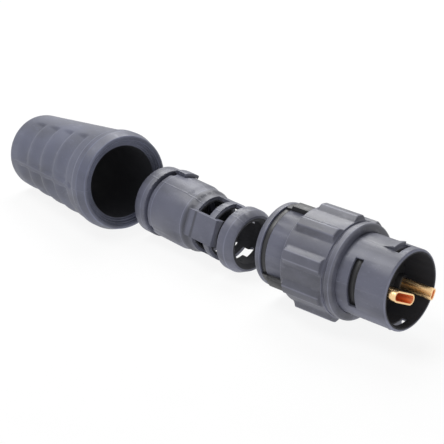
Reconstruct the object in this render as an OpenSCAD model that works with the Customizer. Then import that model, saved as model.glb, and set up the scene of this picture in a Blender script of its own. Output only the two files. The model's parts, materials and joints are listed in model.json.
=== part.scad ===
// Push pull circular cable connector, laid out in its three sub-assemblies:
// the plug body with its sliding coupling ring, the cable clamp and the back shell.
// +X points along the plug axis towards the mating end, +Z is up, the floor is z = 0.

/* [Plug body] */
// Length of the plug body from the rear flange to the front rim
plug_len = 36; // [32:0.5:44]
// Outer radius of the mating barrel
barrel_r = 9.2; // [8.9:0.1:9.3]
// Wall of the mating barrel
barrel_wall = 0.85; // [0.7:0.05:1.1]
// Outer radius of the rear cylinder
rear_r = 9.5; // [9.4:0.05:9.6]
// Outer radius of the rear flange
flange_r = 9.85; // [9.6:0.05:10.2]
// Thickness of the rear flange
flange_t = 1.6; // [1.2:0.1:2]
// Length of the edge chamfers on the body
body_chamfer = 0.3; // [0.1:0.05:0.4]

/* [Latch features on the barrel] */
// Distance of the latch gaps behind the rim
latch_back = 2.0; // [1.6:0.1:3]
// Length of each latch gap along the barrel
latch_gap = 1.3; // [0.8:0.1:1.8]
// Angle that each latch gap covers
latch_angle = 28; // [18:1:34]
// Length of the ramp behind each latch gap
ramp_len = 3.3; // [2:0.1:4]
// Height of the latch ramp above the barrel
ramp_h = 0.75; // [0.4:0.05:1]
// Distance of the long side window behind the rim
window_back = 7.9; // [7.5:0.1:9]
// Width of the side window along the barrel
window_len = 2.1; // [1.4:0.1:2.6]
// Angle that the side window covers
window_angle = 72; // [40:1:80]
// Clock angle of the middle of the side window
window_clock = 169; // [150:1:185]

/* [Coupling ring] */
// Distance from the front of the coupling ring to the rim
ring_back = 13; // [12:0.5:15]
// Length of the coupling ring
ring_len = 14.2; // [13:0.1:16]
// Radius of the coupling ring between its ribs
ring_r = 11.3; // [11.2:0.05:11.5]
// Radius of the rib tops
rib_r = 12.4; // [12:0.1:13.5]
// Width of each rib
rib_w = 4.2; // [3:0.1:5]
// Number of ribs, a multiple of three
rib_count = 9; // [6:3:9]
// Length of the front lip of the ring
lip_len = 1.8; // [1.4:0.1:2.4]
// Radius of the front lip
lip_r = 11.1; // [10.8:0.05:11.3]
// Length of the groove between the ribs and the lip
lip_groove = 1.0; // [0.6:0.1:1.6]
// Depth of that groove
lip_groove_depth = 0.6; // [0.3:0.05:0.7]
// Radius of the counterbore that houses the spring
spring_bore_r = 10.35; // [10.25:0.05:10.45]
// Travel of the ring when it is pulled back
ring_travel = 3; // [2:0.5:3.5]

/* [Key ring, spring and stops] */
// Width of the dark band behind the flange
band_w = 1.4; // [1:0.1:1.8]
// Height of the key lugs above the rear cylinder
lug_h = 1.3; // [1:0.05:1.35]
// Width of each key lug
lug_w = 2.6; // [2:0.1:3]
// Thickness of the spring seat
stop_t = 0.9; // [0.7:0.05:1.1]
// Radius of the spring wire
wire_r = 0.3; // [0.2:0.02:0.34]
// Number of turns of the release spring
spring_turns = 4; // [3:1:6]

/* [Contacts and insert] */
// Distance that the contact tips stand in front of the rim
tip_out = 1.5; // [0:0.1:2]
// Width of the large hollow contact
blade_w = 7.6; // [5:0.1:7.8]
// Thickness of the large hollow contact
blade_t = 2.5; // [2:0.1:2.8]
// Width of the small contact
pin_w = 2.7; // [2:0.1:3]
// Thickness of the small contact
pin_t = 1.4; // [1.2:0.1:1.7]
// Wall of the hollow contacts
contact_wall = 0.35; // [0.25:0.05:0.45]
// Length of the contact carrier
carrier_len = 18.5; // [16:0.5:22]
// Length of the crimp barrels
crimp_len = 7; // [5:0.5:8]

/* [Cable clamp] */
// Length of the slip ring at the rear of the clamp
slip_len = 3.9; // [3:0.1:5]
// Outer radius of the slip ring
slip_r = 8.66; // [8.4:0.05:8.8]
// Total length of the clamp
clamp_len = 34.6; // [33:0.2:40]
// Radius of the smooth part of the cage
cage_r = 8.3; // [8.1:0.05:8.5]
// Radius of the windowed part of the cage
neck_r = 7.2; // [6.9:0.1:7.5]
// Radius of the front collar and of the clamp pads
collar_r = 7.9; // [7.7:0.05:8.1]
// Wall of the windowed part
neck_wall = 1.2; // [1:0.1:1.5]
// Radius of the front bore of the clamp
nose_bore_r = 5.3; // [4.5:0.1:5.6]
// Radius of the cable passage in the rubber seal
cable_r = 3.6; // [2.5:0.1:4.2]

/* [Back shell] */
// Length of the back shell
shell_len = 42.4; // [38:0.2:48]
// Radius of the rear end
shell_rear_r = 9.9; // [9.4:0.1:10.6]
// Radius of the mouth collar
shell_collar_r = 12.7; // [12.4:0.1:13.2]
// Radius of the mouth counterbore
shell_mouth_r = 10.3; // [10.25:0.05:10.6]
// Depth of the mouth counterbore
shell_mouth_d = 4; // [3:0.2:6]
// Radius of the long bore
shell_bore_r = 9.0; // [8.95:0.05:9.2]
// Radius of the cable hole in the rear end
cable_hole_r = 5; // [4.3:0.1:6]
// Thickness of the rear wall
shell_rear_wall = 3; // [2.6:0.1:4]
// Number of grip waves along the shell
grip_rows = 4; // [3:1:5]
// Depth of the grip waves
grip_depth = 0.45; // [0.2:0.05:0.5]
// Width of the plain strips above and below
strip_w = 7; // [4:0.5:9]
// Width of the ridge along each side
seam_w = 1.4; // [1:0.1:2.4]

/* [How the pieces lie] */
// Gap along X between the plug flange and the front of the cable clamp
clamp_gap = 11.5; // [6:0.5:16]
// Sideways offset of the rear of the clamp
clamp_side = 5.6; // [3:0.1:7]
// Yaw of the clamp
clamp_yaw = -5; // [-8:0.5:0]
// Gap along X between the clamp and the mouth of the back shell
shell_gap = 6.4; // [4:0.5:12]
// Sideways offset of the rear end of the back shell
shell_side = 6.2; // [4:0.1:7]
// Yaw of the back shell
shell_yaw = -9; // [-12:0.5:-4]

/* [Hidden] */

$fn = 72;
// Clearances
running = 0.05;
slide_gap = 0.15;
key_gap = 0.2;
seat_gap = 0.05;
soft_gap = 0.15;
cut = 1;

// Plug body stations, measured from the rear face of the flange
bore_r = barrel_r - barrel_wall;
band_floor = rear_r - 0.5;
band_x1 = flange_t + band_w;
ring_x1 = plug_len - ring_back;
ring_x0 = ring_x1 - ring_len;
ring_flange_t = 1.4;
stop_x1 = ring_x0 + ring_flange_t;
seat_x = stop_x1 + seat_gap;
spring_x0 = seat_x + stop_t;
spring_slack = 1.05;
shoulder_x = spring_x0 + ring_travel + (spring_turns + 1) * 2 * wire_r + spring_slack;
lug_r = rear_r + lug_h;
lug_clocks = [90, 210, 330];
lug_x1 = seat_x - seat_gap;
keyway_r = lug_r + key_gap;
groove_x1 = ring_x1 - lip_len;
groove_x0 = groove_x1 - lip_groove;
rib_pitch = 360 / rib_count;
rib_edge = 0.35;
latch_clocks = [90, 270];
latch_x1 = plug_len - latch_back;
latch_x0 = latch_x1 - latch_gap;
ramp_top = 0.4;
ramp_inset = 2;
window_x1 = plug_len - window_back;

// Insert stations
step_h = 0.5;
step_t = 1.2;
step_x = 7.4;
carrier_x0 = step_x + step_t;
carrier_x1 = carrier_x0 + carrier_len;
insert_r = bore_r - 0.02;
lock_t = 2;
lock_x0 = step_x - lock_t;
lock_ring_t = 0.6;
lock_ring_w = 0.9;
lock_groove = 0.25;
clip_t = 0.6;
clip_w = 0.55;
clip_gap = 60;
face_t = 1;
tower_h = 1.5;
tower_wall = 0.6;
crimp_seat = 2;
crimp_wall = 0.45;
blade_x0 = carrier_x0 + crimp_seat;
tip_x = plug_len + tip_out;
blade_at = [-4.2, 0.2];
blade_turn = -26;
pin_at = [6, -2.4];
pin_turn = 64;
blade_crimp_r = blade_t / 2 + 0.6;
pin_crimp_r = pin_t / 2 + 0.5;
seal_t = 1;
seal_r = insert_r - 0.55;
face_x1 = carrier_x1 + face_t;
pin_clock = atan2(pin_at[1], pin_at[0]);

// Clamp stations, measured from the rear face of the slip ring
cage_x0 = slip_len + 0.9;
cage_x1 = 14.5;
band_r = (cage_r + neck_r) / 2 + 0.1;
neck_x0 = 19;
hoop_x0 = 24.5;
hoop_x1 = 26.4;
pad_x1 = 28.6;
collar_x0 = clamp_len - 4.2;
collar_x1 = clamp_len - 2.1;
gap_x1 = collar_x0 - 0.3;
neck_bore_r = neck_r - neck_wall;
pocket_r = cage_r - 1.3;
pocket_x1 = cage_x1 - 0.6;
washer_t = 1.2;
seal_x0 = slip_len + 0.8;
pad_clock = 161;
pad_w = 6.4;
window_span = 56;
window_turn = 55;
bridge_span = 12;

// Back shell stations, measured from its rear face
rear_fillet = 2;
shell_collar_x0 = shell_len - 4.8;
shell_collar_x1 = shell_len - 2.9;
shell_front_r = shell_collar_r - 0.8;
shell_taper_r = shell_collar_r - 0.35;
shell_taper_x = shell_collar_x0 - 0.8;
grip_x0 = 8.6;
mark_clock = 177;
grip_pitch = (shell_collar_x0 - grip_x0 - 3.4) / (grip_rows - 0.5);

// Depth of the lowest rib edge below the plug axis
function rib_low(k) = let(a = 90 + k * rib_pitch)
    max(-rib_r * sin(a) + (rib_w / 2 - rib_edge) * abs(cos(a)),
        -(rib_r - rib_edge) * sin(a) + rib_w / 2 * abs(cos(a)));
plug_z = max([for (k = [0 : rib_count - 1]) rib_low(k)]);

// The clamp lies on its front collar and on the slip ring or the cage, nose down
clamp_tilt = max(atan((slip_r - collar_r) / (collar_x1 - slip_len)),
                 atan((cage_r - collar_r) / (collar_x1 - cage_x1)));
clamp_z = collar_x1 * sin(clamp_tilt) + collar_r * cos(clamp_tilt);

// The back shell lies on its collar and its rounded rear edge, nose up
lean_run = shell_collar_x0 - rear_fillet;
lean_rise = shell_collar_r - shell_rear_r + rear_fillet;
shell_tilt = atan2(lean_rise, lean_run) - asin(rear_fillet / norm([lean_run, lean_rise]));
shell_z = shell_collar_r * cos(shell_tilt) - shell_collar_x0 * sin(shell_tilt);

// Places on the floor before centring
clamp_x = -clamp_gap - clamp_len * cos(clamp_yaw);
shell_x = clamp_x - shell_gap - shell_len * cos(shell_yaw);
edge_r = shell_rear_r - rear_fillet;
shell_dx = cos(shell_yaw) * cos(shell_tilt);
shell_dy = sin(shell_yaw) * cos(shell_tilt);
x_min = shell_x + rear_fillet * (shell_dx - 1) - edge_r * sqrt(1 - shell_dx * shell_dx);
x_max = tip_x;
y_max = shell_side + rear_fillet * (shell_dy + 1) + edge_r * sqrt(1 - shell_dy * shell_dy);
y_min = shell_side + shell_collar_x1 * shell_dy - shell_collar_r * sqrt(1 - shell_dy * shell_dy);
mid = [(x_min + x_max) / 2, (y_min + y_max) / 2];

// Local Z becomes X, and local X and Y become Y and Z
module along_x() rotate([90, 0, 90]) children();
// A turned shape from [radius, station] points
module turned(points) along_x() rotate_extrude() polygon(points);
// A turned ring between two stations
module ring_x(x0, x1, r_in, r_out)
    turned([[r_in, x0], [r_out, x0], [r_out, x1], [r_in, x1]]);
// Part of a ring, clocked from +Y towards +Z
module sector(x0, x1, r_in, r_out, middle, width)
    along_x() rotate([0, 0, middle - width / 2]) rotate_extrude(angle = width)
        polygon([[r_in, x0], [r_out, x0], [r_out, x1], [r_in, x1]]);
// A round bar along X
module bar_x(x0, x1, r) translate([x0, 0, 0]) along_x() cylinder(h = x1 - x0, r = r);
// A box along X that reaches out to r_out at a clock angle
module spoke(x0, x1, r_in, r_out, width, clock)
    rotate([clock, 0, 0]) translate([x0, r_in, -width / 2]) cube([x1 - x0, r_out - r_in, width]);
// A flat-oval bar along X
module oval_x(x0, x1, w, t, at, turn)
    translate([x0, at[0], at[1]]) rotate([turn, 0, 0]) along_x() linear_extrude(x1 - x0)
        union() {
            square([w - t, t], center = true);
            for (side = [-1, 1]) translate([side * (w - t) / 2, 0]) circle(d = t);
        }

module at_plug() translate([-mid[0], -mid[1], plug_z]) children();
module at_clamp() translate([clamp_x - mid[0], clamp_side - mid[1], clamp_z])
    rotate([0, clamp_tilt, clamp_yaw]) children();
module at_shell() translate([shell_x - mid[0], shell_side - mid[1], shell_z])
    rotate([0, -shell_tilt, shell_yaw]) children();

// Moulded body: rear flange, rear cylinder and open mating barrel
module plug_shell() color("#5f6168") at_plug() difference() {
    union() {
        turned([
            [bore_r, 0], [flange_r - body_chamfer, 0], [flange_r, body_chamfer], [flange_r, flange_t],
            [band_floor, flange_t], [band_floor, band_x1], [rear_r, band_x1], [rear_r, seat_x],
            [barrel_r, seat_x], [barrel_r, plug_len - body_chamfer],
            [barrel_r - body_chamfer, plug_len], [bore_r, plug_len],
            [bore_r, carrier_x0], [bore_r - step_h, carrier_x0], [bore_r - step_h, step_x],
            [bore_r, step_x], [bore_r, lock_x0], [bore_r + lock_groove, lock_x0],
            [bore_r + lock_groove, lock_x0 - lock_ring_t - running],
            [bore_r, lock_x0 - lock_ring_t - running]]);
        for (clock = latch_clocks) latch_ramp(clock);
    }
    for (clock = latch_clocks)
        sector(latch_x0, latch_x1, bore_r - cut, barrel_r + cut + ramp_h, clock, latch_angle);
    sector(window_x1 - window_len, window_x1, bore_r - cut, barrel_r + cut, window_clock, window_angle);
}

// Wedge behind a latch gap, highest at its front end
module latch_ramp(clock)
    along_x() rotate([0, 0, clock - latch_angle / 2 + ramp_inset])
        rotate_extrude(angle = latch_angle - 2 * ramp_inset)
            polygon([[barrel_r - barrel_wall / 2, latch_x0 - ramp_len], [barrel_r, latch_x0 - ramp_len],
                     [barrel_r + ramp_h, latch_x0 - ramp_top], [barrel_r + ramp_h, latch_x0],
                     [barrel_r - barrel_wall / 2, latch_x0]]);

// Dark ring behind the flange with the three keys that guide the coupling ring
module key_ring() color("#1d1e21") at_plug() difference() {
    union() {
        bar_x(flange_t, band_x1 - seat_gap, rear_r - 0.1);
        for (clock = lug_clocks) spoke(flange_t, lug_x1, band_floor, lug_r, lug_w, clock);
    }
    turned([[0, flange_t - cut], [band_floor, flange_t - cut], [band_floor, band_x1],
            [rear_r, band_x1], [rear_r, lug_x1 + cut], [0, lug_x1 + cut]]);
}

// Ribs of the coupling ring, with slanted ends
module ribs() intersection() {
    for (k = [0 : rib_count - 1]) rotate([90 + k * rib_pitch, 0, 0])
        translate([ring_x0, 0, 0]) along_x() linear_extrude(groove_x0 - ring_x0)
            polygon([[ring_r - 0.4, -rib_w / 2], [rib_r - rib_edge, -rib_w / 2],
                     [rib_r, -rib_w / 2 + rib_edge], [rib_r, rib_w / 2 - rib_edge],
                     [rib_r - rib_edge, rib_w / 2], [ring_r - 0.4, rib_w / 2]]);
    turned([[0, ring_x0], [ring_r + 0.2, ring_x0], [rib_r + 0.6, ring_x0 + 1],
            [rib_r + 0.6, groove_x0 - 1.2], [ring_r + 0.1, groove_x0], [0, groove_x0]]);
}

// Push pull release sleeve
module coupling_ring() color("#56585f") at_plug() difference() {
    union() {
        turned([
            [rear_r + slide_gap, ring_x0], [ring_r - body_chamfer, ring_x0], [ring_r, ring_x0 + body_chamfer],
            [ring_r, groove_x0], [ring_r - lip_groove_depth, groove_x0],
            [ring_r - lip_groove_depth, groove_x1], [lip_r, groove_x1], [lip_r, ring_x1 - 0.7],
            [lip_r - 0.7, ring_x1], [barrel_r + running, ring_x1], [barrel_r + running, shoulder_x],
            [spring_bore_r, shoulder_x], [spring_bore_r, stop_x1], [rear_r + slide_gap, stop_x1]]);
        difference() {
            ribs();
            bar_x(ring_x0 - cut, groove_x0 + cut, ring_r - 0.3);
        }
    }
    for (clock = lug_clocks)
        spoke(ring_x0 - cut, shoulder_x, rear_r - cut, keyway_r, lug_w + 2 * key_gap, clock);
}

// Seat that takes the rear end of the release spring
module spring_seat() color("#8d9096") at_plug()
    ring_x(seat_x, seat_x + stop_t, barrel_r, spring_bore_r - slide_gap);

// Release spring: a ring of points swept round the barrel
spring_mean_r = (barrel_r + spring_bore_r) / 2;
spring_a = spring_x0 + wire_r + seat_gap;
spring_b = shoulder_x - wire_r - seat_gap;
wire_sides = 8;
turn_steps = 28;
function coil_point(i, j) = let(
    t = i / (spring_turns * turn_steps), a = 360 * i / turn_steps,
    b = 360 * j / wire_sides, r = spring_mean_r + wire_r * cos(b))
    [spring_a + (spring_b - spring_a) * t + wire_r * sin(b), r * cos(a), r * sin(a)];
module release_spring() color("#9a9da3") at_plug() {
    rings = spring_turns * turn_steps;
    points = [for (i = [0 : rings]) for (j = [0 : wire_sides - 1]) coil_point(i, j)];
    sides = [for (i = [0 : rings - 1]) for (j = [0 : wire_sides - 1])
        let(k = (j + 1) % wire_sides, a = i * wire_sides, b = a + wire_sides)
        [a + j, a + k, b + k, b + j]];
    first = [for (j = [0 : wire_sides - 1]) wire_sides - 1 - j];
    last = [for (j = [0 : wire_sides - 1]) rings * wire_sides + j];
    polyhedron(points, concat([first], sides, [last]));
}

// Flat-oval holes of both contacts
module contact_holes(x0, x1) {
    oval_x(x0, x1, blade_w, blade_t, blade_at, blade_turn);
    oval_x(x0, x1, pin_w, pin_t, pin_at, pin_turn);
}
// Round holes round both crimp barrels
module crimp_holes(x0, x1, gap) {
    translate([0, blade_at[0], blade_at[1]]) bar_x(x0, x1, blade_crimp_r + gap);
    translate([0, pin_at[0], pin_at[1]]) bar_x(x0, x1, pin_crimp_r + gap);
}

// Insulating insert that carries the contacts
module contact_carrier() color("#17181a") at_plug() difference() {
    bar_x(carrier_x0, carrier_x1, insert_r);
    contact_holes(carrier_x0 - cut, carrier_x1 + cut);
    crimp_holes(carrier_x0 - cut, blade_x0, 0);
    ring_x(carrier_x0 - cut, carrier_x0 + seal_t, seal_r, insert_r + cut);
}

// Flat seal between the step in the shell and the rebate of the insert
module carrier_seal() color("#101012") at_plug()
    ring_x(carrier_x0, carrier_x0 + seal_t, seal_r, insert_r);

// Rubber face seal with a raised collar round each contact
module face_seal() color("#101012") at_plug() difference() {
    union() {
        bar_x(carrier_x1, face_x1, insert_r);
        intersection() {
            union() {
                oval_x(carrier_x1 + face_t / 2, face_x1 + tower_h, blade_w + 2 * tower_wall,
                       blade_t + 2 * tower_wall, blade_at, blade_turn);
                oval_x(carrier_x1 + face_t / 2, face_x1 + tower_h, pin_w + 2 * tower_wall,
                       pin_t + 2 * tower_wall, pin_at, pin_turn);
            }
            bar_x(carrier_x1, face_x1 + tower_h + cut, insert_r - soft_gap);
        }
    }
    contact_holes(carrier_x1 - cut, face_x1 + tower_h + cut);
}

// Rear lock plate that keeps the contacts in the insert
module carrier_lock() color("#2a2b2f") at_plug() difference() {
    bar_x(lock_x0, step_x, insert_r);
    crimp_holes(lock_x0 - cut, step_x + cut, running);
}

// Split ring that snaps into the bore behind the lock plate
module lock_ring() color("#8d9096") at_plug()
    sector(lock_x0 - lock_ring_t, lock_x0, bore_r - lock_ring_w, bore_r + lock_groove - running,
           pin_clock + 180, 360 - 45);

// A hollow flat-oval contact with a round crimp barrel at its rear
module contact(w, t, at, turn, crimp_r) difference() {
    union() {
        oval_x(blade_x0 - 0.5, tip_x, w, t, at, turn);
        translate([0, at[0], at[1]]) bar_x(blade_x0 - crimp_len, blade_x0, crimp_r);
    }
    oval_x(carrier_x1, tip_x + cut, w - 2 * contact_wall, t - 2 * contact_wall, at, turn);
    translate([0, at[0], at[1]])
        bar_x(blade_x0 - crimp_len - cut, blade_x0 - 1.5, crimp_r - crimp_wall);
}
// Split clip round a crimp barrel, against the rear of the lock plate
module contact_clip(at, crimp_r) translate([0, at[0], at[1]])
    sector(lock_x0 - clip_t, lock_x0, crimp_r, crimp_r + clip_w, 90, 360 - clip_gap);
module power_contact() color("#d9a441") at_plug()
    contact(blade_w, blade_t, blade_at, blade_turn, blade_crimp_r);
module power_clip() color("#8d9096") at_plug() contact_clip(blade_at, blade_crimp_r);
module second_contact() color("#d9a441") at_plug()
    contact(pin_w, pin_t, pin_at, pin_turn, pin_crimp_r);
module second_clip() color("#8d9096") at_plug() contact_clip(pin_at, pin_crimp_r);

// Cable clamp cage with snap pads, windows and a bevelled front collar
module clamp_cage() color("#5b5d64") at_clamp() difference() {
    union() {
        turned([
            [0, slip_len], [cage_r - 0.7, slip_len], [cage_r - 0.7, cage_x0],
            [cage_r - 0.2, cage_x0], [cage_r, cage_x0 + 0.2], [cage_r, cage_x1],
            [band_r, cage_x1 + 1.6], [band_r, cage_x1 + 3.2], [neck_r, neck_x0],
            [neck_r, collar_x0], [collar_r, collar_x0], [collar_r, collar_x1],
            [collar_r - 1, clamp_len], [0, clamp_len]]);
        for (half = [0, 180])
            spoke(neck_x0 - 0.4, pad_x1, neck_bore_r - 1, collar_r, pad_w, pad_clock + half);
    }
    turned([
        [0, slip_len - cut], [pocket_r, slip_len - cut], [pocket_r, pocket_x1], [neck_bore_r, pocket_x1],
        [neck_bore_r, collar_x0 + 1], [nose_bore_r, collar_x0 + 1.6], [nose_bore_r, clamp_len - 0.7],
        [nose_bore_r + 0.7, clamp_len], [nose_bore_r + 0.7, clamp_len + cut], [0, clamp_len + cut]]);
    for (half = [0, 180]) {
        for (side = [-1, 1])
            sector(neck_x0 + 1.3, hoop_x0, neck_bore_r - cut, collar_r + cut,
                   pad_clock + half + side * window_turn, window_span);
        difference() {
            sector(hoop_x1, gap_x1, neck_bore_r - cut, collar_r + cut,
                   pad_clock + half, 180 - bridge_span);
            spoke(hoop_x1 - cut, pad_x1, 0, collar_r + 2 * cut, pad_w, pad_clock + half);
        }
    }
    for (clock = lug_clocks)
        spoke(cage_x0 - 0.2, cage_x0 + 1.1, cage_r - 0.6, cage_r + cut, 1.8, clock);
}

// Slip ring behind the clamp cage
module slip_ring() color("#63656c") at_clamp()
    turned([[neck_bore_r, 0], [slip_r - 0.4, 0], [slip_r, 0.4], [slip_r, slip_len - 0.15],
            [slip_r - 0.15, slip_len], [pocket_r - running, slip_len],
            [pocket_r - running, seal_x0], [neck_bore_r, seal_x0]]);

// Ribbed rubber cable seal
module cable_seal() color("#141416") at_clamp() {
    x1 = pocket_x1 - washer_t - soft_gap;
    x0 = seal_x0 + soft_gap;
    pitch = (x1 - x0) / 3;
    turned(concat([[cable_r, x0]],
        [for (k = [0 : 2]) for (p = [[0.5, 0], [0, 0.3], [0, 0.6], [0.5, 0.8]])
            [pocket_r - soft_gap - p[0], x0 + pitch * (k + p[1])]],
        [[pocket_r - soft_gap - 0.5, x1], [cable_r, x1]]));
}

// Hard washer between the seal and the cage
module seal_washer() color("#6d6f76") at_clamp()
    ring_x(pocket_x1 - washer_t, pocket_x1, cable_r + 1, pocket_r - running);

// Radius of the plain tapered shell at a station
function shell_r(x) = shell_rear_r
    + (x - rear_fillet) * (shell_taper_r - shell_rear_r) / (shell_taper_x - rear_fillet);
// Outer outline of the shell, with shallow grip waves of the given depth
function shell_outline(depth) = concat(
    [[cable_hole_r + 0.4, 0]],
    [for (a = [0 : 15 : 90]) [edge_r + rear_fillet * sin(a), rear_fillet * (1 - cos(a))]],
    [for (row = [0 : grip_rows - 1]) for (t = [0 : 1 / 6 : 1])
        let(x = grip_x0 + (row - 0.5 + 0.06 + 0.88 * t) * grip_pitch)
        [shell_r(x) - depth * sin(180 * t), x]],
    [[shell_taper_r, shell_taper_x], [shell_collar_r, shell_collar_x0],
     [shell_collar_r, shell_collar_x1], [shell_front_r, shell_len - 0.3],
     [shell_front_r - 0.3, shell_len], [shell_mouth_r + 0.5, shell_len],
     [shell_mouth_r, shell_len - 0.5], [shell_mouth_r, shell_len - shell_mouth_d],
     [shell_bore_r, shell_len - shell_mouth_d], [shell_bore_r, shell_rear_wall + 5],
     [cable_hole_r + 1, shell_rear_wall + 1], [cable_hole_r, shell_rear_wall], [cable_hole_r, 0.4]]);

// Back shell: grip waves round the sides, plain strips above and below, mouth collar, cable hole
module back_shell() color("#585a61") at_shell() difference() {
    union() {
        turned(shell_outline(grip_depth));
        intersection() {
            turned([[shell_bore_r + 0.6, grip_x0 - grip_pitch / 2],
                    [shell_r(grip_x0 - grip_pitch / 2), grip_x0 - grip_pitch / 2],
                    [shell_taper_r, shell_taper_x], [shell_bore_r + 0.6, shell_taper_x]]);
            for (strip = [[90, strip_w], [270, strip_w], [0, seam_w], [180, seam_w]])
                spoke(0, shell_len, 0, shell_collar_r + cut, strip[1], strip[0]);
        }
    }
    rotate([mark_clock, 0, 0]) translate([shell_collar_x0 - 1.6, shell_taper_r - 0.35, 0])
        rotate([-90, 0, 0]) cylinder(h = 2, r = 0.9);
}

// Round seal at the bottom of the mouth counterbore
module mouth_seal() color("#101012") at_shell()
    ring_x(shell_len - shell_mouth_d, shell_len - shell_mouth_d + 1.2,
           shell_bore_r + 0.2, shell_mouth_r - running);

plug_shell();
key_ring();
coupling_ring();
release_spring();
spring_seat();
contact_carrier();
carrier_seal();
face_seal();
carrier_lock();
lock_ring();
power_contact();
power_clip();
second_contact();
second_clip();
clamp_cage();
slip_ring();
cable_seal();
seal_washer();
back_shell();
mouth_seal();
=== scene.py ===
"""Looks of a push pull circular connector that lies in three parts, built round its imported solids.

Lengths in the properties are in metres. Every piece keeps its place in its mesh.
"""
import json
import math

import bpy
import numpy as np
from mathutils import Matrix, Vector


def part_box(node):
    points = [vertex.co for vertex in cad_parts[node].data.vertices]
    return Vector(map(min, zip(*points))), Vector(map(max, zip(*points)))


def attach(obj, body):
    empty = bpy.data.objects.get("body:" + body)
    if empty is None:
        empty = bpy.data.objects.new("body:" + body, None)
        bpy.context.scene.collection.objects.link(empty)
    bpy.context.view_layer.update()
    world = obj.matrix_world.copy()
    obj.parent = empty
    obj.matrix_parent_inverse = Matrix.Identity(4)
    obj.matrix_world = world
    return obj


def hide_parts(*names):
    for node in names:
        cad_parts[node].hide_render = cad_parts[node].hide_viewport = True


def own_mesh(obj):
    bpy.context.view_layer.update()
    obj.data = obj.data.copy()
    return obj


bl_info = {
    "name": "Push pull connector looks",
    "version": (1, 0, 0),
    "blender": (4, 5, 0),
    "location": "View3D > Sidebar > Connector",
    "description": "Dresses the packed connector and its stage",
    "category": "Object",
}

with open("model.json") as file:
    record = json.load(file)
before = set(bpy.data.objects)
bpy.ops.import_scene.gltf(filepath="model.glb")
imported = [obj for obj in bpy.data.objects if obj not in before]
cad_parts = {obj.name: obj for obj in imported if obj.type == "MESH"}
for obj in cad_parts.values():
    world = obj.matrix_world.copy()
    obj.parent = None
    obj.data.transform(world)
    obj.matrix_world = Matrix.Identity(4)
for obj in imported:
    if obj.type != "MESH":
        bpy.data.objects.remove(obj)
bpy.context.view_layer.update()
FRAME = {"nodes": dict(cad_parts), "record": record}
MM = 0.001
WHITE = (1, 1, 1, 1)
AMBIENT = 0.25  # strength of the studio's even light
KEY_CLOCKS = (90, 210, 330)  # clock angles of the key lugs and keyways, in degrees


# ---------------------------------------------------------------- places read from the frame

def mount(name):
    """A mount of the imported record, with its place and axis as vectors."""
    found = next(m for m in FRAME["record"]["mounts"] if m["name"] == name)
    return Vector(found["pos_m"]), Vector(found["axis"]).normalized()


def place(origin, forward):
    """The matrix of a turned part: X runs forward along its axis, Z as near up as it can."""
    side = Vector((0, 0, 1)).cross(forward).normalized()
    up = forward.cross(side)
    turned = Matrix((forward, side, up)).transposed().to_4x4()
    return Matrix.Translation(origin) @ turned


def middle(box):
    """The middle of a box that is given by its lowest and highest corner."""
    low, high = box
    return (low + high) / 2


def plug_place():
    """The plug body's matrix, with its origin on its axis at the rear face of the flange."""
    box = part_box("plug_shell")
    rear, centre = box[0].x, middle(box)
    return place(Vector((rear, centre.y, centre.z)), Vector((1, 0, 0)))


def shell_place(wall):
    """The back shell's matrix, with its origin on its axis at the rear face. The cable hole goes
    through the wall."""
    hole, outwards = mount("cable_entry")
    return place(hole + outwards * wall / 2, -outwards)


def clamp_place():
    """The clamp's matrix, with its origin in the middle of the slip ring and X to the washer."""
    rear, front = middle(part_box("slip_ring")), middle(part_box("seal_washer"))
    return place(rear, (front - rear).normalized())


# ---------------------------------------------------------------- shader maths

class Wire:
    """A socket that can be added, multiplied and compared in Python expressions."""

    def __init__(self, board, socket):
        self.board = board
        self.socket = socket

    def math(self, operation, *values):
        return self.board.node("ShaderNodeMath", {"operation": operation}, [self, *values])

    def __add__(self, other):
        return self.math("ADD", other)

    def __sub__(self, other):
        return self.math("SUBTRACT", other)

    def __rsub__(self, other):
        return self.board.node("ShaderNodeMath", {"operation": "SUBTRACT"}, [other, self])

    def __mul__(self, other):
        return self.math("MULTIPLY", other)

    def __truediv__(self, other):
        return self.math("DIVIDE", other)

    def __abs__(self):
        return self.math("ABSOLUTE")

    def __gt__(self, other):
        return self.math("GREATER_THAN", other)


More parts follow.
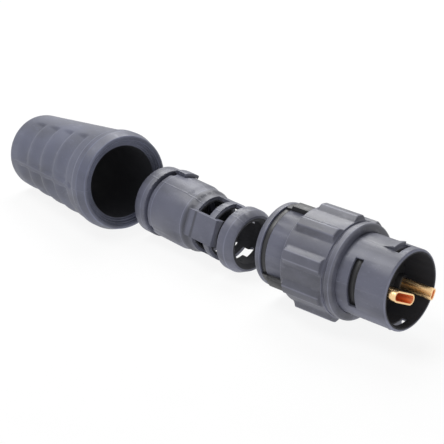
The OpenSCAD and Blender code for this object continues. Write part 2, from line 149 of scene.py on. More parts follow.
class Board:
    """The node tree of one material or world."""

    def __init__(self, owner, output="ShaderNodeOutputMaterial"):
        owner.use_nodes = True
        self.owner = owner
        self.tree = owner.node_tree
        self.tree.nodes.clear()
        self.output = self.tree.nodes.new(output)

    def node(self, kind, settings=None, values=(), output=0):
        """One node, with its settings and the values or links of its sockets, by place or name."""
        made = self.tree.nodes.new(kind)
        for key, value in (settings or {}).items():
            setattr(made, key, value)
        pairs = values.items() if isinstance(values, dict) else enumerate(values)
        for key, value in pairs:
            if isinstance(value, Wire):
                self.tree.links.new(value.socket, made.inputs[key])
            else:
                made.inputs[key].default_value = value
        return Wire(self, made.outputs[output])

    def coordinates(self, matrix=None):
        """Object coordinates in metres, in a part's own frame if its matrix is given."""
        vector = self.node("ShaderNodeTexCoord", output="Object")
        if matrix is not None:
            vector = self.node("ShaderNodeMapping", {"vector_type": "TEXTURE"}, {
                "Vector": vector, "Location": matrix.to_translation(),
                "Rotation": matrix.to_euler()})
        return vector

    def stretched(self, vector, along):
        """Coordinates whose X counts only in part, so that a pattern runs along the part's axis."""
        return self.node("ShaderNodeMapping", None, {"Vector": vector, "Scale": (along, 1, 1)})

    def split(self, vector):
        return [self.node("ShaderNodeSeparateXYZ", None, [vector], k) for k in range(3)]

    def noise(self, vector, scale, detail=3.0, rough=0.55):
        """Fractal noise with scale cycles per metre."""
        return self.node("ShaderNodeTexNoise", None, {
            "Vector": vector, "Scale": scale, "Detail": detail, "Roughness": rough})

    def fade(self, value, low, high, start=0.0, end=1.0):
        """value mapped smoothly from low..high to start..end."""
        return self.node("ShaderNodeMapRange", {"interpolation_type": "SMOOTHSTEP"}, {
            "Value": value, "From Min": low, "From Max": high, "To Min": start, "To Max": end})

    def near(self, distance, core, edge):
        """1 where a distance is below core, 0 where it is above edge."""
        return self.fade(distance, core, edge, 1.0, 0.0)

    def mix(self, factor, first, second):
        """A colour between two colours, which go in at sockets 6 and 7 and come out at 2."""
        first, second = [value if isinstance(value, Wire) else (*value[:3], 1)
                         for value in (first, second)]
        return self.node("ShaderNodeMix", {"data_type": "RGBA"},
                         {0: factor, 6: first, 7: second}, output=2)

    def bump(self, height, distance, strength):
        return self.node("ShaderNodeBump", None, {
            "Height": height, "Distance": distance, "Strength": strength})

    def seen(self):
        """1 for rays of the camera, of mirrors and through glass, and 0 for the rest."""
        rays = [self.node("ShaderNodeLightPath", None, (), ray) for ray in
                ("Is Camera Ray", "Is Glossy Ray", "Is Transmission Ray")]
        return (rays[0] + rays[1] + rays[2]).math("MINIMUM", 1.0)

    def finish(self, shader):
        """Puts the shader on the output and gives the material or world."""
        self.tree.links.new(shader.socket, self.output.inputs["Surface"])
        return self.owner

    def surface(self, **values):
        """The material, finished with a Principled shader."""
        named = {key.replace("_", " "): value for key, value in values.items()}
        return self.finish(self.node("ShaderNodeBsdfPrincipled", None, named))


def added(wires):
    """The sum of some wires, or None where there are none."""
    return sum(wires[1:], wires[0]) if wires else None


def shade(colour, factor):
    return tuple(channel * factor for channel in colour[:3])


# ---------------------------------------------------------------- materials

# Noise scales of moulded plastic, in cycles per metre
CLOUD, PATCH, RUB, SPECK, GRAIN = 170.0, 75.0, 480.0, 2600.0, 5200.0
# Half widths in metres of a parting line and of a painted edge highlight: fully there, and faded out
LINE_CORE, HIGHLIGHT_CORE, MARK_EDGE = 0.00006, 0.00005, 0.0002


def moulded(name, colour, matrix, seams=(), seam_radius=0.009, rough=0.5, wear_and_sheen=0.5, bore=0.0,
            edges=(), ribs=None, shade_bands=()):
    """Moulded engineering plastic: cloudy tone along the flow, fine spark-eroded grain, rub marks
    that are partly wear and partly painted sheen, parting lines at the given clock angles, painted
    highlights along the edges at the given stations and on the ribs, painted shade in the bands
    between the given stations, and painted shade inside, up to the bore's radius."""
    board = Board(bpy.data.materials.new(name))
    local = board.coordinates(matrix)
    x, y, z = board.split(local)
    radius = (y * y + z * z).math("SQRT")
    flow = board.stretched(local, 0.5)
    cloud = board.noise(flow, CLOUD, detail=5.0, rough=0.6)
    patch = board.fade(board.noise(flow, PATCH), 0.42, 0.68)
    rub_and_sheen = board.fade(board.noise(flow, RUB, detail=5.0, rough=0.72), 0.54, 0.74)
    speck = board.fade(board.noise(local, SPECK, detail=1.0), 0.68, 0.74)
    grain = board.noise(local, GRAIN, detail=2.0)

    tone = board.mix(board.fade(cloud, 0.3, 0.7), shade(colour, 0.7), shade(colour, 1.2))
    tone = board.mix(patch * 0.75, tone, shade(colour, 1.5))
    # Rub marks: lighter streaks, partly wear and partly painted sheen
    tone = board.mix(rub_and_sheen * wear_and_sheen, tone, shade(colour, 1.75))
    tone = board.mix(speck * 0.35, tone, shade(colour, 2.4))
    height = grain * 0.35 + cloud * 0.4
    dull = 0.0

    # Painted shade: a darker tone in the bands between the given stations, at the steps of the clamp
    for low, high in shade_bands:
        soft = (high - low) / 3
        painted_shade = board.fade(x, low - soft, low + soft) * board.near(x, high - soft, high + soft)
        tone = board.mix(painted_shade * 0.8, tone, shade(colour, 0.45))
    painted_edge_highlight = added(edge_highlights(board, x, edges) + rib_highlights(board, radius, y, z, ribs))
    # Painted highlight: a lighter tone along the given edge stations and the rib edges
    if painted_edge_highlight is not None:
        tone = board.mix(painted_edge_highlight * board.fade(cloud, 0.2, 0.7, 0.25, 0.75), tone, shade(colour, 2.3))
    line = added(seam_marks(board, y, z, seams, seam_radius))
    if line is not None:
        tone = board.mix(line * 0.4, tone, shade(colour, 1.7))
        height = height + line * 3.0
    # Painted shade inside the bore: a much darker tone where the radius is below the bore's
    if bore:
        inside = board.near(radius, bore, bore + 0.0002) * board.fade(x, 0.0006, 0.001)
        tone = board.mix(inside, tone, shade(colour, 0.15))
        dull = inside * 0.35
    matte = board.fade(cloud, 0.25, 0.75, rough - 0.1, rough + 0.1)
    return board.surface(
        Base_Color=tone,
        Roughness=matte - rub_and_sheen * 0.1 - patch * 0.06 + dull,
        Normal=board.bump(height, distance=0.00002, strength=0.8))


def edge_highlights(board, x, stations):
    """A narrow band of painted highlight round the axis at each station."""
    return [board.near(abs(x - station), HIGHLIGHT_CORE, MARK_EDGE) for station in stations]


def rib_highlights(board, radius, y, z, ribs):
    """Painted highlights along the two long edges on top of every rib, where the clock angle from
    the nearest rib's middle is the half angle of a rib's top."""
    if ribs is None:
        return []
    pitch = 2 * math.pi / ribs.count
    turns = ((z.math("ARCTAN2", y) - ribs.clock) / pitch).math("FRACT")
    off = (0.5 - abs(turns - 0.5)) * pitch
    return [board.near(abs(off - ribs.top), 0.006, 0.02) * (radius > ribs.crest - 0.0003)]


def seam_marks(board, y, z, clocks, seam_radius):
    """A thin parting line along the outside at each clock angle, in degrees."""
    marks = []
    for clock in clocks:
        angle = math.radians(clock)
        along = y * math.cos(angle) + z * math.sin(angle)
        across = abs(z * math.cos(angle) - y * math.sin(angle))
        marks.append(board.near(across, LINE_CORE, MARK_EDGE) * (along > seam_radius * 0.5))
    return marks


def black_plastic(name, colour, matrix):
    """Glossier dark insulating plastic with faint flow lines."""
    board = Board(bpy.data.materials.new(name))
    local = board.coordinates(matrix)
    cloud = board.noise(local, 260.0, detail=4.0)
    grain = board.noise(local, 4200.0, detail=2.0)
    return board.surface(
        Base_Color=board.mix(board.fade(cloud, 0.3, 0.7), shade(colour, 0.8), shade(colour, 1.3)),
        Roughness=board.fade(cloud, 0.3, 0.7, 0.38, 0.52),
        Normal=board.bump(grain, distance=0.000008, strength=0.6))


def rubber(name, colour, matrix):
    """Dull rubber with dust in its pores."""
    board = Board(bpy.data.materials.new(name))
    local = board.coordinates(matrix)
    dust = board.fade(board.noise(local, 900.0, detail=5.0, rough=0.7), 0.55, 0.8)
    return board.surface(
        Base_Color=board.mix(dust * 0.5, colour, shade(colour, 3.0)),
        Roughness=board.fade(dust, 0.0, 1.0, 0.62, 0.85),
        Normal=board.bump(board.noise(local, 3000.0), distance=0.00001, strength=0.7))


def plated(name, colour, stain, matrix, rough):
    """Plated metal with drawn lines along the part and a slight tarnish."""
    board = Board(bpy.data.materials.new(name))
    local = board.coordinates(matrix)
    lines = board.noise(board.stretched(local, 0.04), 3000.0, detail=2.0)
    tarnish = board.fade(board.noise(local, 500.0), 0.5, 0.8)
    return board.surface(
        Base_Color=board.mix(tarnish * 0.4, colour, stain),
        Metallic=1.0,
        Roughness=board.fade(lines, 0.3, 0.7, rough - 0.05, rough + 0.08) + tarnish * 0.1)


def floor_material(look):
    """A white ground: what the camera and mirrors see is nearly all plain white, with a faint real
    shadow. The part is lit by it as by a bright table."""
    board = Board(bpy.data.materials.new("stage_ground"))
    cloud = board.noise(board.coordinates(), 60.0)
    diffuse = board.node("ShaderNodeBsdfDiffuse", None, {
        "Color": board.mix(board.fade(cloud, 0.3, 0.7), (0.8, 0.8, 0.8), (0.83, 0.83, 0.83))})
    bounce = board.node("ShaderNodeLightPath", None, (), "Is Diffuse Ray")
    white = board.node("ShaderNodeEmission", None, {
        "Color": WHITE, "Strength": bounce * (look.table_light - 1) + 1.0})
    factor = board.seen() * look.shadow_hiding + bounce
    return board.finish(board.node("ShaderNodeMixShader", None, [factor, diffuse, white]))


def studio_world():
    """White for the camera and mirrors, an even grey light for the rest."""
    board = Board(bpy.data.worlds.new("studio"), "ShaderNodeOutputWorld")
    white, soft = [board.node("ShaderNodeBackground", None, {"Color": WHITE, "Strength": strength})
                   for strength in (1.0, AMBIENT)]
    return board.finish(board.node("ShaderNodeMixShader", None, [board.seen(), soft, white]))


# ---------------------------------------------------------------- surfaces

def grid_mesh(name, points, wrap_u=True, wrap_v=True):
    """A mesh from an array of points [u, v, xyz], closed round in u and v where asked."""
    nu, nv = points.shape[:2]
    u = np.arange(nu if wrap_u else nu - 1)
    v = np.arange(nv if wrap_v else nv - 1)
    uu, vv = np.meshgrid(u, v, indexing="ij")
    u1, v1 = (uu + 1) % nu, (vv + 1) % nv
    faces = np.stack([uu * nv + vv, u1 * nv + vv, u1 * nv + v1, uu * nv + v1], -1).reshape(-1, 4)
    mesh = bpy.data.meshes.new(name)
    mesh.vertices.add(nu * nv)
    mesh.vertices.foreach_set("co", points.reshape(-1).astype(np.float32))
    mesh.loops.add(faces.size)
    mesh.loops.foreach_set("vertex_index", faces.reshape(-1).astype(np.int32))
    mesh.polygons.add(len(faces))
    mesh.polygons.foreach_set("loop_start", np.arange(0, faces.size, 4, dtype=np.int32))
    mesh.update(calc_edges=True)
    mesh.validate()
    piece = bpy.data.objects.new(name, mesh)
    bpy.context.scene.collection.objects.link(piece)
    return piece


def moved(points, matrix):
    """Points of a part's own frame in the shared frame."""
    turn = np.array(matrix.to_3x3())
    return points @ turn.T + np.array(matrix.to_translation())


def rounded_profile(corners, steps):
    """A closed profile from corners of station, radius and rounding, with an arc at each corner.

    At a corner with rounding r, the arc runs between the points at distance d = r / tan(angle / 2)
    along both sides, as the rational quadratic blend of those two points and the corner, whose
    weight is sin(angle / 2). Each arc stays within its half of a side."""
    corners, rounding = np.split(np.array(corners, float), [2], axis=1)
    before = np.roll(corners, 1, 0) - corners
    after = np.roll(corners, -1, 0) - corners
    len_b, len_a = np.linalg.norm(before, axis=1), np.linalg.norm(after, axis=1)
    dir_b, dir_a = before / len_b[:, None], after / len_a[:, None]
    angle = np.arccos(np.clip((dir_b * dir_a).sum(1), -1, 1))
    longest = 0.45 * np.minimum(len_a, len_b)
    cut = np.minimum(rounding[:, 0] / np.tan(angle / 2), longest)
    t = np.linspace(0, 1, steps)[None, :, None]
    start = (corners + dir_b * cut[:, None])[:, None]
    end = (corners + dir_a * cut[:, None])[:, None]
    a, b, c = (1 - t) ** 2, 2 * t * (1 - t) * np.sin(angle / 2)[:, None, None], t ** 2
    arc = (a * start + b * corners[:, None] + c * end) / (a + b + c)
    return arc.reshape(-1, 2)


def clock_angles(count):
    """Angles in equal steps once round the axis."""
    return np.linspace(0, 2 * np.pi, count, endpoint=False)


def around(x, radius, theta):
    """Points at station x and the given radius, at each clock angle theta."""
    x, radius, theta = np.broadcast_arrays(x, radius, theta)
    return np.stack([x, radius * np.cos(theta), radius * np.sin(theta)], -1)


def swept(profile, theta, grown):
    """A profile of stations and radii at each clock angle theta, grown about its own middle."""
    centre = profile.min(0) / 2 + profile.max(0) / 2
    sized = (centre + (profile[None] - centre) * grown[:, None, None]) * MM
    return around(sized[..., 0], sized[..., 1], theta[:, None])


def sector(name, matrix, profile, start, end):
    """A closed piece of a ring between two clock angles, with rounded ends."""
    step, longest_end, end_size = 0.08, 0.02, 0.92
    inner = np.linspace(start, end, max(int((end - start) / step), 3))
    soft = min(longest_end, (end - start) / 8)
    theta = np.concatenate([[start, start, start + soft], inner[1:-1], [end - soft, end, end]])
    grown = np.ones(len(theta))
    grown[[0, -1]] = 0
    grown[[1, -2]] = end_size
    return grid_mesh(name, moved(swept(profile, theta, grown), matrix), wrap_u=False)


SAME_POINT = 1e-9  # profile points closer than this are one, in millimetres


def filled(profile, step):
    """The closed profile with its long stretches divided into steps."""
    ends = np.vstack([profile, profile[:1]])
    lengths = np.linalg.norm(np.diff(ends, axis=0), axis=1)
    total = np.concatenate([[0], np.cumsum(lengths)])
    extra = [np.linspace(a, b, max(int(math.ceil((b - a) / step)), 1), endpoint=False)
             for a, b in zip(total[:-1], total[1:]) if b - a > SAME_POINT]
    where = np.concatenate(extra)
    return np.stack([np.interp(where, total, ends[:, k]) for k in range(2)], 1)


def smooth(value, low, high):
    """0 below low, 1 above high, and 3t^2 - 2t^3 between."""
    t = np.clip((value - low) / (high - low), 0, 1)
    return t * t * (3 - 2 * t)


# The distance in metres within which the corners of a CAD mesh are one
MERGED = 0.000002
# Faces that bend by less than FLAT are one face, and by more than SHARP they have an edge
FLAT, SHARP = math.radians(1.0), math.radians(30.0)


def soften(node, width, body):
    """A copy of a CAD node with merged triangles and rounded edges, which stands for it."""
    mesh = FRAME["nodes"][node].data.copy()
    piece = bpy.data.objects.new(node + "_finished", mesh)
    bpy.context.scene.collection.objects.link(piece)
    weld = piece.modifiers.new("merge", "WELD")
    weld.merge_threshold = MERGED
    flat = piece.modifiers.new("flats", "DECIMATE")
    flat.decimate_type = "DISSOLVE"
    flat.angle_limit = FLAT
    edge = piece.modifiers.new("edges", "BEVEL")
    edge.width = width
    edge.segments = 2
    edge.limit_method = "ANGLE"
    edge.angle_limit = SHARP
    edge.use_clamp_overlap = True
    edge.harden_normals = True
    apply_modifiers(piece)
    smooth_shading(piece)
    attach(piece, body)
    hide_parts(node)
    return piece


def apply_modifiers(piece):
    """Puts the modifiers' result into the mesh."""
    graph = bpy.context.evaluated_depsgraph_get()
    result = bpy.data.meshes.new_from_object(piece.evaluated_get(graph))
    piece.modifiers.clear()
    piece.data = result


def smooth_shading(piece, angle=32.0):
    """Smooth faces, with a sharp edge wherever they bend by more than the angle, in degrees."""
    piece.data.polygons.foreach_set("use_smooth", np.ones(len(piece.data.polygons), bool))
    piece.data.set_sharp_from_angle(angle=math.radians(angle))


def face_vectors(piece, what):
    """A vector of every face, such as its middle."""
    found = np.empty(len(piece.data.polygons) * 3)
    piece.data.polygons.foreach_get(what, found)
    return found.reshape(-1, 3)


def paint(piece, *materials):
    """Gives a piece these materials in place of its own."""
    piece.data.materials.clear()
    for material in materials:
        piece.data.materials.append(material)


# ---------------------------------------------------------------- settings

def settings():
    """The colours and finish that every operator reads."""
    return bpy.context.scene.connector_look


def colour_property(name, description, default):
    return bpy.props.FloatVectorProperty(
        name=name, description=description, subtype="COLOR", default=default, min=0, max=1)


def length_property(name, description, default, low, high):
    return bpy.props.FloatProperty(
        name=name, description=description, subtype="DISTANCE", default=default, min=low, max=high,
        precision=5)


def angle_property(name, description, default, low, high):
    """An angle in radians, whose default is given in degrees."""
    return bpy.props.FloatProperty(
        name=name, description=description, subtype="ANGLE", default=math.radians(default), min=low,
        max=high)


class ConnectorLook(bpy.types.PropertyGroup):
    """Colours and finish."""
    body_colour: colour_property(
        "Body plastic", "Colour of the plug body and clamp", (0.068, 0.071, 0.098))
    shell_colour: colour_property(
        "Shell plastic", "Colour of the back shell", (0.06, 0.065, 0.096))
    ring_colour: colour_property(
        "Ring plastic", "Colour of the coupling ring", (0.068, 0.07, 0.092))
    black_colour: colour_property(
        "Insulator", "Colour of the insert and key ring", (0.012, 0.012, 0.014))
    gold_colour: colour_property(
        "Plating", "Colour of the contacts", (0.9, 0.62, 0.33))
    copper_colour: colour_property(
        "Inside of the contacts", "Colour inside the hollow contacts", (0.85, 0.4, 0.2))
    steel_colour: colour_property(
        "Spring steel", "Colour of springs and clips", (0.55, 0.56, 0.58))
    edge: length_property(
        "Edge radius", "Rounding of moulded edges", 0.00018, 0.00005, 0.0004)
    shadow_hiding: bpy.props.FloatProperty(
        name="Ground whiteness", description="How much of the ground is plain white",
        subtype="FACTOR", default=0.88, min=0, max=1)
    table_light: bpy.props.FloatProperty(
        name="Table light", description="Brightness of the ground as the piece itself is lit by it",
        default=1.7, min=0, max=4)


class RingShape(bpy.types.PropertyGroup):
    """Sizes of the coupling ring's ribs."""
    valley: length_property("Valley radius", "Radius between the ribs", 0.01115, 0.0111, 0.0115)
    crest: length_property("Rib radius", "Radius of the rib tops", 0.01227, 0.0118, 0.0124)
    count: bpy.props.IntProperty(
        name="Ribs", description="Number of ribs round the ring", default=9, min=3, max=12)
    clock: angle_property("First rib", "Clock angle of the first rib", 80, 0, 2 * math.pi)
    top: angle_property("Rib top", "Half angle of a rib's top", 4.9, 0.02, 0.2)
    foot: angle_property("Rib foot", "Half angle of a rib's foot", 10.8, 0.1, 0.33)


class ShellShape(bpy.types.PropertyGroup):
    """Sizes of the back shell's moulded outside."""
    wall: length_property(
        "Rear wall", "Thickness of the wall round the cable hole", 0.003, 0.001, 0.006)
    grip_depth: length_property(
        "Grip depth", "Depth of the upper grip hollows", 0.00062, 0.0001, 0.0015)
    grip_low_depth: length_property(
        "Lower grip depth", "Depth of the grip hollows below the seam", 0.001, 0.0001, 0.0015)
    grip_pitch: length_property(
        "Grip pitch", "Distance between grip crests", 0.00731, 0.004, 0.012)
    first_crest: length_property(
        "First crest", "Distance of the first crest behind the mouth", 0.0082, 0.006, 0.015)
    strip: angle_property(
        "Plain strip", "Half angle of the plain strips above and below", 18, 0.1, 0.8)


class Stage(bpy.types.PropertyGroup):
    """Camera and lights."""
    azimuth: bpy.props.FloatProperty(
        name="Azimuth", description="Camera direction round the part", default=43.92,
        min=-180, max=180)
    elevation: bpy.props.FloatProperty(
        name="Elevation", description="Camera height angle", default=22.74, min=-89, max=89)
    distance: bpy.props.FloatProperty(
        name="Distance", description="Camera distance", subtype="DISTANCE", default=0.35, min=0.1,
        max=3)
    aim: bpy.props.FloatVectorProperty(
        name="Aim", description="Point that the camera looks at", subtype="XYZ",
        default=(0.0006, 0.0079, 0.0064), precision=4)
    field: angle_property("Field of view", "Angle that the camera takes in", 17.74, 0.05, 1.5)
    light: bpy.props.FloatProperty(
        name="Light", description="Power of all lamps", default=1.0, min=0, max=5)


# ---------------------------------------------------------------- pieces
#
# Each profile is a row of corners: station along the axis, radius and rounding, in millimetres.

class CONNECTOR_OT_plug_body(bpy.types.Operator):
    """Moulded plug shell and its dark key ring"""
    bl_idname = "connector.plug_body"
    bl_label = "Plug body"

    BAND = ((1.6, 9, 0.02), (1.6, 9.42, 0.1), (2.95, 9.42, 0.1), (2.95, 9, 0.02))
    LUG = ((1.7, 9.3, 0.02), (1.7, 9.95, 0.2), (3.3, 9.95, 0.2),  # low tail
           (3.7, 10.8, 0.2), (10.15, 10.8, 0.2), (10.15, 9.3, 0.02))  # key that fits the ring
    HALF_LUG = 0.13  # half angle that a lug takes up, in radians

    def execute(self, context):
        look, matrix = settings(), plug_place()
        shell = soften("plug_shell", look.edge * 0.7, "plug")
        # The plug's plastic: painted highlights along the edges at the listed stations, and painted
        # shade inside the bore
        paint(shell, moulded("plug_plastic", look.body_colour, matrix, seams=(172, 352),
                             bore=0.0086, edges=(0.0001, 0.0015, 0.0359)))
        theta = clock_angles(120)
        band = swept(rounded_profile(self.BAND, 3), theta, np.ones_like(theta))
        pieces = [grid_mesh("key_band", moved(band, matrix))]
        lug = rounded_profile(self.LUG, 4)
        for clock in KEY_CLOCKS:
            centre = math.radians(clock)
            pieces.append(sector("key_%d" % clock, matrix, lug, centre - self.HALF_LUG,
                                 centre + self.HALF_LUG))
        dark = black_plastic("key_plastic", look.black_colour, matrix)
        for piece in pieces:
            smooth_shading(piece, 40)
            paint(piece, dark)
            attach(piece, "plug")
            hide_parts("key_ring")
        return {"FINISHED"}


class CONNECTOR_OT_coupling_ring(bpy.types.Operator):
    """Sliding ring with slab ribs, a grooved front lip and three keyways"""
    bl_idname = "connector.coupling_ring"
    bl_label = "Coupling ring"

    RIB_REAR, RIB_FRONT = (9.45, 9.85), (20.1, 20.48)  # stations over which the ribs rise and fall
    GROOVE = 20.5  # station of the groove behind the front lip
    SHOULDER = 18.2  # station where the spring's room ends
    KEYWAY, HALF_KEYWAY, KEYWAY_AT = 11, 1.5, 10  # radius, and half width at which radius

    def execute(self, context):
        look, matrix = settings(), plug_place()
        shape = context.scene.connector_ring
        piece = grid_mesh("coupling_ring_finished", moved(self.surface(shape), matrix))
        smooth_shading(piece, 34)
        # The ring's plastic: painted highlights along the edges at the listed stations and on the
        # rib tops, and rub marks that are partly wear and partly painted sheen
        paint(piece, moulded("ring_plastic", look.ring_colour, matrix, rough=0.46, wear_and_sheen=0.6,
                             edges=(0.0089, 0.0205, 0.0213, 0.0224), ribs=shape))
        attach(piece, "coupling_ring")
        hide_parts("coupling_ring")
        return {"FINISHED"}

    def surface(self, shape):
        """A closed profile turned round the axis. Outside, each rib adds its height times a
        trapezoid of the clock angle, averaged over a small angle, times a step at both ends.
        Inside, the radius is at least the keyway's within half its width of each key's clock
        angle."""
        valley = shape.valley / MM
        corners = (
            (8.8, 9.65, 0.1), (8.8, valley, 0.3),  # rear face
            (9.35, valley, 0), (9.95, valley, 0), (20.0, valley, 0),  # for the ends of the ribs
            (self.GROOVE, valley, 0.15), (self.GROOVE, 10.75, 0.1), (21.2, 10.75, 0.1),  # groove
            (21.2, 11.1, 0.15), (23, 11.1, 0.7), (23, 9.25, 0.1),  # front lip
            (self.SHOULDER, 9.25, 0.05), (self.SHOULDER, 10.35, 0.05),  # bore and shoulder
            (10.2, 10.35, 0.05), (10.2, 9.65, 0.05))  # room of the spring
        profile = filled(rounded_profile(corners, 5), 0.3) * MM
        s, r = profile[:, 0][None], profile[:, 1][None]
        theta = clock_angles(45 * shape.count)[:, None]
        off = self.from_nearest(theta, shape.clock, 2 * np.pi / shape.count)
        soft = np.radians(np.linspace(-0.7, 0.7, 5))
        rib = np.clip((shape.foot - np.abs(off + soft)) / (shape.foot - shape.top), 0, 1)
        rib = rib.mean(1)[:, None]
        rise, fall = [smooth(s, low * MM, high * MM)
                      for low, high in (self.RIB_REAR, self.RIB_FRONT)]
        outside = (r > shape.valley - 0.05 * MM) & (s < self.GROOVE * MM)
        radius = r + np.where(outside, rib * (rise * (1 - fall)) * (shape.crest - shape.valley), 0)
        off = self.from_nearest(theta, np.radians(KEY_CLOCKS[0]), np.radians(120))
        key = off * self.KEYWAY_AT * MM < self.HALF_KEYWAY * MM
        inside = (s < (self.SHOULDER - 0.01) * MM) & (r < self.KEYWAY * MM)
        radius = np.where(key & inside, np.maximum(radius, self.KEYWAY * MM), radius)
        return around(s, radius, theta)

    @staticmethod
    def from_nearest(theta, first, pitch):
        """The angle between theta and the nearest of a row of angles that starts at first."""
        return np.abs((theta - first + pitch / 2) % pitch - pitch / 2)


class CONNECTOR_OT_insert(bpy.types.Operator):
    """Contact carrier, seals, lock plate and the sprung parts inside the plug"""
    bl_idname = "connector.insert"
    bl_label = "Insert"

    def execute(self, context):
        look, matrix = settings(), plug_place()
        black = black_plastic("insert_plastic", look.black_colour, matrix)
        dark = black_plastic("lock_plastic", shade(look.body_colour, 0.6), matrix)
        soft = rubber("seal_rubber", shade(look.black_colour, 0.8), matrix)
        metal = plated("spring_steel", look.steel_colour, shade(look.steel_colour, 0.6), matrix,
                       rough=0.28)
        for name, material in (("contact_carrier", black), ("carrier_lock", dark),
                               ("carrier_seal", soft), ("spring_seat", metal), ("lock_ring", metal),
                               ("power_clip", metal), ("second_clip", metal)):
            paint(FRAME["nodes"][name], material)
        face = soften("face_seal", look.edge * 0.5, "plug")
        paint(face, soft)
        self.spring(matrix, metal)
        return {"FINISHED"}

    @staticmethod
    def spring(matrix, metal):
        """A round wire along a helix of four turns, built at rest; the real spring shortens as the
        ring is pulled back.
        """
        rear, front, turns, mean, wire, travel = 11.15, 18.2, 4, 9.775, 0.28, 3.0
        along = np.linspace(0, 1, 40 * turns)[:, None]
        across = clock_angles(8)[None]
        thick = wire * np.where((along > 0) & (along < 1), 1, 0)
        x = rear + 2 * wire + (front - rear - 4 * wire) * along + thick * np.sin(across)
        points = around(x, mean + thick * np.cos(across), 2 * np.pi * turns * along) * MM
        piece = grid_mesh("release_spring_finished", moved(points, matrix), wrap_u=False)
        smooth_shading(piece, 60)
        paint(piece, metal)
        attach(piece, "plug")
        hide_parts("release_spring")
        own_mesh(piece)


class CONNECTOR_OT_contacts(bpy.types.Operator):
    """Gold-plated hollow contacts, copper-coloured inside"""
    bl_idname = "connector.contacts"
    bl_label = "Contacts"

    def execute(self, context):
        look, matrix = settings(), plug_place()
        gold, copper = [
            plated(name, colour, shade(colour, 0.8), matrix, rough)
            for name, colour, rough in (("gold_plating", look.gold_colour, 0.24),
                                        ("contact_inside", look.copper_colour, 0.4))]
        for name in ("power_contact", "second_contact"):
            piece = soften(name, look.edge * 0.45, "plug")
            paint(piece, gold, copper)
            self.line_inside(piece)
        return {"FINISHED"}

    @staticmethod
    def line_inside(piece):
        """The second material goes on those faces of the blade, the hollow front of a contact, that
        look towards its own middle, and on the floor of the hollow."""
        blade_length, hollow_depth = 0.0115, 0.0101
        centre, normal = face_vectors(piece, "center"), face_vectors(piece, "normal")
        front = centre[:, 0].max()
        blade = centre[:, 0] > front - blade_length
        axis = centre[blade].min(0) / 2 + centre[blade].max(0) / 2
        inwards = ((centre - axis)[:, 1:] * normal[:, 1:]).sum(1) < -1e-5
        floor = (centre[:, 0] < front - hollow_depth) & (normal[:, 0] > 0.9)
        lined = blade & (inwards | floor)
        piece.data.polygons.foreach_set("material_index", lined.astype(np.int32))


class CONNECTOR_OT_clamp(bpy.types.Operator):
    """Cable clamp cage, slip ring, seal and washer"""
    bl_idname = "connector.clamp"
    bl_label = "Cable clamp"

    # An inner wall behind the windows, and a hook in front of the slip ring. Stations count from the
    # slip ring's middle.
    WALL = ((26.2, 6.02, 0.1), (26.2, 7.18, 0.1), (30.6, 7.18, 0.1), (30.6, 6.02, 0.1))
    HOOK = ((1.8, 8.4, 0.02), (1.8, 8.7, 0.3), (2.8, 9.25, 0.5), (6.2, 9.25, 0.3), (6.2, 8.35, 0.1))

    def execute(self, context):
        look, matrix = settings(), clamp_place()
        # The clamp's plastic: painted highlights along the edges at the listed stations, painted
        # shade in the two listed bands at its steps, and painted shade inside the bore
        plastic = moulded("clamp_plastic", look.body_colour, matrix, seams=(117, 297),
                          seam_radius=0.008, bore=0.0063,
                          edges=(0.0002, 0.0038, 0.0145, 0.0304, 0.0325, 0.0345),
                          shade_bands=((0.0151, 0.0169), (0.0186, 0.0194)))
        for name in ("clamp_cage", "slip_ring"):
            piece = soften(name, look.edge, "plug")
            paint(piece, plastic)
        wall, hook = rounded_profile(self.WALL, 3), rounded_profile(self.HOOK, 4)
        for name, profile, start, end in (("clamp_wall", wall, -42, 71),
                                          ("clamp_low_wall", wall, 254, 291),
                                          ("slip_hook", hook, 54, 84)):
            panel = sector(name, matrix, profile, math.radians(start), math.radians(end))
            smooth_shading(panel, 40)
            paint(panel, plastic)
            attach(panel, "plug")
        washer = black_plastic("washer_plastic", shade(look.body_colour, 0.7), matrix)
        paint(FRAME["nodes"]["cable_seal"], rubber("clamp_rubber", look.black_colour, matrix))
        paint(FRAME["nodes"]["seal_washer"], washer)
        return {"FINISHED"}


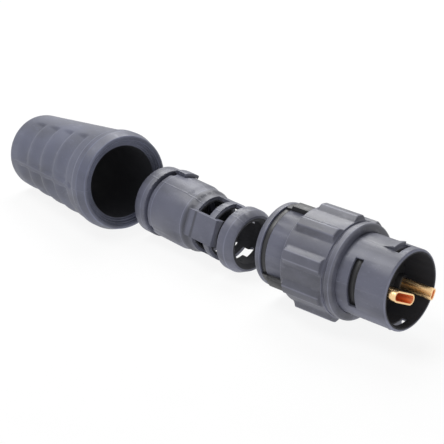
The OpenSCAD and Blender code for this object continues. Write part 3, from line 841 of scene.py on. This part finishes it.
class CONNECTOR_OT_back_shell(bpy.types.Operator):
    """Back shell with scalloped finger grips, plain strips and mouth collar"""
    bl_idname = "connector.back_shell"
    bl_label = "Back shell"

    LENGTH = 42.4
    PROFILE = (
        (0, 5.4, 0.2), (0, 9.76, 2.0), (36.8, 12.35, 0.5),  # rear face and tapered body
        (37.6, 12.7, 0.5), (39.5, 12.7, 0.35), (42.1, 11.95, 0.35),  # collar
        (LENGTH, 11.5, 0.2), (LENGTH, 11.1, 0.15), (42.1, 10.8, 0.1), (41.8, 10.8, 0.1),  # lip
        (41.8, 10.3, 0.1), (41.4, 10.3, 0.1), (41.4, 9.7, 0.1), (41, 9.7, 0.1),  # mouth steps
        (41, 9.2, 0.1), (8, 9, 1.0), (4, 6, 0.5), (3, 5, 0.3), (0.4, 5, 0.2))  # hollow, cable hole
    GRIP_REAR, GRIP_FRONT, ROWS = 2.2, 36.5, 4  # stations of the grips, and how many rows they have
    # Small pit behind the collar: its station, clock angle, the shell's radius there and its depth
    PIT_X, PIT_CLOCK, PIT_AT, PIT_DEPTH = 35.6, 177, 12.2, 0.25

    def execute(self, context):
        look, shape = settings(), context.scene.connector_shell
        matrix = shell_place(shape.wall)
        piece = grid_mesh("back_shell_finished", moved(self.surface(shape), matrix))
        smooth_shading(piece, 40)
        # The shell's plastic: painted highlights along the edges at the listed stations, and painted
        # shade inside the bore
        paint(piece, moulded("shell_plastic", look.shell_colour, matrix, seams=(178,),
                             seam_radius=0.01, bore=0.0092, edges=(0.0376, 0.0395, 0.0421)))
        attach(piece, "plug")
        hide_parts("back_shell")
        paint(FRAME["nodes"]["mouth_seal"], rubber("mouth_rubber", look.black_colour, matrix))
        return {"FINISHED"}

    def surface(self, shape):
        """A closed profile turned round the axis; on the outside, the radius loses a sawtooth of
        hollows that is steep behind each crest, times a window that is 0 on the strips and the side
        ridges, and a small round pit."""
        profile = filled(rounded_profile(self.PROFILE, 5), 0.45) * MM
        s, r = profile[:, 0][None], profile[:, 1][None]
        theta = clock_angles(288)[:, None]
        row = (self.LENGTH * MM - shape.first_crest - s) / shape.grip_pitch
        within = row - np.floor(row)
        tooth = smooth(within, 0.0, 0.3) * (1 - smooth(within, 0.25, 1.0))
        tooth = tooth * smooth(row, -0.001, 0.001) * (1 - smooth(row, self.ROWS - 0.02, self.ROWS))
        fold = np.abs((theta + np.pi / 2) % np.pi - np.pi / 2)
        ridge = smooth(fold, math.radians(2.2), math.radians(6))
        strip = smooth(fold, np.pi / 2 - shape.strip - 0.1, np.pi / 2 - shape.strip)
        depth = np.where(np.sin(theta) < 0, shape.grip_low_depth, shape.grip_depth)
        depth = depth * (ridge * (1 - strip))
        outside = (r > 9.6 * MM) & (s < self.GRIP_FRONT * MM) & (s > self.GRIP_REAR * MM)
        beside = (theta - math.radians(self.PIT_CLOCK)) * self.PIT_AT * MM
        pit = 1 - smooth(np.hypot(s - self.PIT_X * MM, beside), 0.55 * MM, 0.85 * MM)
        radius = r - np.where(outside, tooth * depth, 0)
        radius = radius - np.where(outside, self.PIT_DEPTH * MM * pit, 0)
        return around(s, radius, theta)


class CONNECTOR_OT_stage(bpy.types.Operator):
    """White ground, soft studio lamps and camera"""
    bl_idname = "connector.stage"
    bl_label = "Stage"

    # Name, place, width in metres and power in watts of each square lamp
    LAMPS = (("key", (-0.2, -0.15, 0.55), 0.3, 2.3),
             ("top", (-0.25, 0.3, 0.45), 0.34, 2.6),
             ("side", (0.5, -0.3, 0.2), 0.2, 0.5))
    LIT = (0, 0, 0.01)  # where the lamps point

    def execute(self, context):
        stage = context.scene.connector_stage
        self.ground()
        self.lamps(context, stage.light)
        context.scene.world = studio_world()
        self.camera(context, stage)
        context.scene.view_settings.view_transform = "Standard"
        return {"FINISHED"}

    @staticmethod
    def ground():
        """A flat square grid at height 0."""
        side = np.linspace(-1.5, 1.5, 9)
        x, y = np.meshgrid(side, side, indexing="ij")
        floor = grid_mesh("ground", np.stack([x, y, np.zeros_like(x)], -1), False, False)
        paint(floor, floor_material(settings()))

    def lamps(self, context, power):
        for name, at, width, watts in self.LAMPS:
            data = bpy.data.lights.new(name, "AREA")
            data.shape = "SQUARE"
            data.size = width
            data.energy = watts * power
            lamp = bpy.data.objects.new(name, data)
            lamp.location = at
            ray = Vector(self.LIT) - Vector(at)
            lamp.rotation_euler = ray.to_track_quat("-Z", "Y").to_euler()
            context.scene.collection.objects.link(lamp)

    @staticmethod
    def camera(context, stage):
        azimuth, elevation = math.radians(stage.azimuth), math.radians(stage.elevation)
        level = math.cos(elevation)
        back = Vector((math.sin(azimuth) * level, -math.cos(azimuth) * level, math.sin(elevation)))
        data = bpy.data.cameras.new("camera")
        data.angle = stage.field
        data.clip_start = 0.01
        camera = bpy.data.objects.new("camera", data)
        camera.location = Vector(stage.aim) + back * stage.distance
        camera.rotation_euler = back.to_track_quat("Z", "Y").to_euler()
        context.scene.collection.objects.link(camera)
        context.scene.camera = camera


# ---------------------------------------------------------------- panel and start

OPERATORS = (CONNECTOR_OT_plug_body, CONNECTOR_OT_coupling_ring, CONNECTOR_OT_insert,
             CONNECTOR_OT_contacts, CONNECTOR_OT_clamp, CONNECTOR_OT_back_shell, CONNECTOR_OT_stage)


class CONNECTOR_PT_panel(bpy.types.Panel):
    """Lists the connector's pieces"""
    bl_idname = "CONNECTOR_PT_panel"
    bl_label = "Connector"
    bl_space_type = "VIEW_3D"
    bl_region_type = "UI"
    bl_category = "Connector"

    def draw(self, context):
        for operator in OPERATORS:
            self.layout.operator(operator.bl_idname)
        for pointer, _ in GROUPS:
            group = getattr(context.scene, pointer)
            for name in group.__annotations__:
                self.layout.prop(group, name)


GROUPS = (("connector_look", ConnectorLook), ("connector_ring", RingShape),
          ("connector_shell", ShellShape), ("connector_stage", Stage))


def register():
    for _, group in GROUPS:
        bpy.utils.register_class(group)
    for cls in (*OPERATORS, CONNECTOR_PT_panel):
        bpy.utils.register_class(cls)
    for name, group in GROUPS:
        setattr(bpy.types.Scene, name, bpy.props.PointerProperty(type=group))


def unregister():
    for name, _ in GROUPS:
        delattr(bpy.types.Scene, name)
    for cls in (CONNECTOR_PT_panel, *OPERATORS):
        bpy.utils.unregister_class(cls)
    for _, group in GROUPS:
        bpy.utils.unregister_class(group)


def main():
    register()
    bpy.ops.connector.plug_body()
    bpy.ops.connector.coupling_ring()
    bpy.ops.connector.insert()
    bpy.ops.connector.contacts()
    bpy.ops.connector.clamp()
    bpy.ops.connector.back_shell()
    bpy.ops.connector.stage()


if __name__ == "__main__":
    main()
